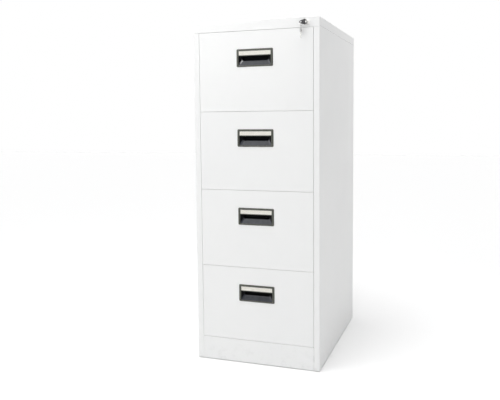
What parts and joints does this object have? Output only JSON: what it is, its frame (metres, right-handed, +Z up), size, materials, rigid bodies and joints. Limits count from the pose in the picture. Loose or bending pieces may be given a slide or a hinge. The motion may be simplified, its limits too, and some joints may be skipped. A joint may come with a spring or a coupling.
{
  "type": "filing cabinet",
  "caption": "Tall steel filing cabinet with flush drawers on ball-bearing slides, recessed card-frame pulls, and a key lock that lifts a bar to hold every drawer.",
  "frame": {"origin": "on the floor, at the bottom centre of the bounding box (the hanging key in front to the screw heads at the back)", "axes": "+X to the cabinet's right seen from the front, +Y to the back, +Z up; drawers open towards -Y"},
  "size_m": [0.5, 0.725, 1.33],
  "materials": {
    "white_paint": "smooth white powder coat, semi-matt",
    "zinc": "bright zinc plate",
    "pull_plastic": "dark olive-grey moulded plastic",
    "key_plastic": "black moulded plastic",
    "card": "cream card",
    "clear_plastic": "clear plastic strip",
    "nickel": "nickel plate",
    "rubber": "black rubber"
  },
  "bodies": {
    "cabinet": {"left_side_panel": "white_paint", "right_side_panel": "white_paint", "back_panel": "white_paint", "top_cap": "white_paint", "cap_screws": "zinc", "base_pan": "white_paint", "front_plinth": "white_paint", "levelling_feet": "rubber", "foot_nuts": "zinc", "left_uprights": "zinc", "right_uprights": "zinc", "cross_rails": "white_paint", "left_outer_slides": "zinc", "right_outer_slides": "zinc", "slide_bumpers": "rubber", "lock_housing": "nickel", "lock_nut": "nickel", "bar_guides": "zinc"},
    "lock_plug": {"lock_plug": "nickel", "lock_cam": "zinc", "key_blade": "nickel"},
    "key_head": {"key_head": "key_plastic", "key_hinge_pin": "nickel"},
    "key_ring": {"key_ring": "nickel"},
    "spare_key": {"spare_key_head": "key_plastic", "spare_key_blade": "nickel"},
    "lock_bar": {"lock_bar": "zinc"},
    "drawer_1": {"drawer_front_1": "white_paint", "drawer_tray_1": "white_paint", "hanger_rails_1": "zinc", "pull_1": "pull_plastic", "label_card_1": "card", "label_window_1": "clear_plastic", "inner_slides_1": "zinc"},
    "middle_slides_1": {"middle_slides_1": "zinc"},
    "drawer_2": {"drawer_front_2": "white_paint", "drawer_tray_2": "white_paint", "hanger_rails_2": "zinc", "pull_2": "pull_plastic", "label_card_2": "card", "label_window_2": "clear_plastic", "inner_slides_2": "zinc"},
    "middle_slides_2": {"middle_slides_2": "zinc"},
    "drawer_3": {"drawer_front_3": "white_paint", "drawer_tray_3": "white_paint", "hanger_rails_3": "zinc", "pull_3": "pull_plastic", "label_card_3": "card", "label_window_3": "clear_plastic", "inner_slides_3": "zinc"},
    "middle_slides_3": {"middle_slides_3": "zinc"},
    "drawer_4": {"drawer_front_4": "white_paint", "drawer_tray_4": "white_paint", "hanger_rails_4": "zinc", "pull_4": "pull_plastic", "label_card_4": "card", "label_window_4": "clear_plastic", "inner_slides_4": "zinc"},
    "middle_slides_4": {"middle_slides_4": "zinc"}
  },
  "joints": [
    {"name": "key_turn", "type": "hinge", "parent": "cabinet", "child": "lock_plug", "pos_m": [0.203, -0.3395, 1.311], "axis": [0, -1, 0], "range_deg": [0, 90]},
    {"name": "key_fold", "type": "hinge", "parent": "lock_plug", "child": "key_head", "pos_m": [0.203, -0.3525, 1.311], "axis": [0, 0, 1], "range_deg": [0, 180]},
    {"name": "key_ring_swing", "type": "hinge", "parent": "key_head", "child": "key_ring", "pos_m": [0.183, -0.3525, 1.311], "axis": [0, -1, 0], "range_deg": [-90, 0]},
    {"name": "spare_key_swing", "type": "hinge", "parent": "key_ring", "child": "spare_key", "pos_m": [0.183, -0.3525, 1.2962], "axis": [1, 0, 0], "range_deg": [-40, 2]},
    {"name": "lock_bar_lift", "type": "slide", "parent": "cabinet", "child": "lock_bar", "axis": [0, 0, 1], "range_m": [0, 0.01414]},
    {"name": "drawer_1_slide", "type": "slide", "parent": "cabinet", "child": "drawer_1", "axis": [0, -1, 0], "range_m": [0, 0.58]},
    {"name": "middle_slides_1_slide", "type": "slide", "parent": "cabinet", "child": "middle_slides_1", "axis": [0, -1, 0], "range_m": [0, 0.29]},
    {"name": "drawer_2_slide", "type": "slide", "parent": "cabinet", "child": "drawer_2", "axis": [0, -1, 0], "range_m": [0, 0.58]},
    {"name": "middle_slides_2_slide", "type": "slide", "parent": "cabinet", "child": "middle_slides_2", "axis": [0, -1, 0], "range_m": [0, 0.29]},
    {"name": "drawer_3_slide", "type": "slide", "parent": "cabinet", "child": "drawer_3", "axis": [0, -1, 0], "range_m": [0, 0.58]},
    {"name": "middle_slides_3_slide", "type": "slide", "parent": "cabinet", "child": "middle_slides_3", "axis": [0, -1, 0], "range_m": [0, 0.29]},
    {"name": "drawer_4_slide", "type": "slide", "parent": "cabinet", "child": "drawer_4", "axis": [0, -1, 0], "range_m": [0, 0.58]},
    {"name": "middle_slides_4_slide", "type": "slide", "parent": "cabinet", "child": "middle_slides_4", "axis": [0, -1, 0], "range_m": [0, 0.29]}
  ],
  "couplings": [
    {"joint": "key_turn", "follows": "lock_bar_lift", "rad_per_m": 111.08},
    {"joint": "key_ring_swing", "follows": "lock_bar_lift", "rad_per_m": -111.08},
    {"joint": "middle_slides_1_slide", "follows": "drawer_1_slide", "ratio": 0.5},
    {"joint": "middle_slides_2_slide", "follows": "drawer_2_slide", "ratio": 0.5},
    {"joint": "middle_slides_3_slide", "follows": "drawer_3_slide", "ratio": 0.5},
    {"joint": "middle_slides_4_slide", "follows": "drawer_4_slide", "ratio": 0.5}
  ]
}
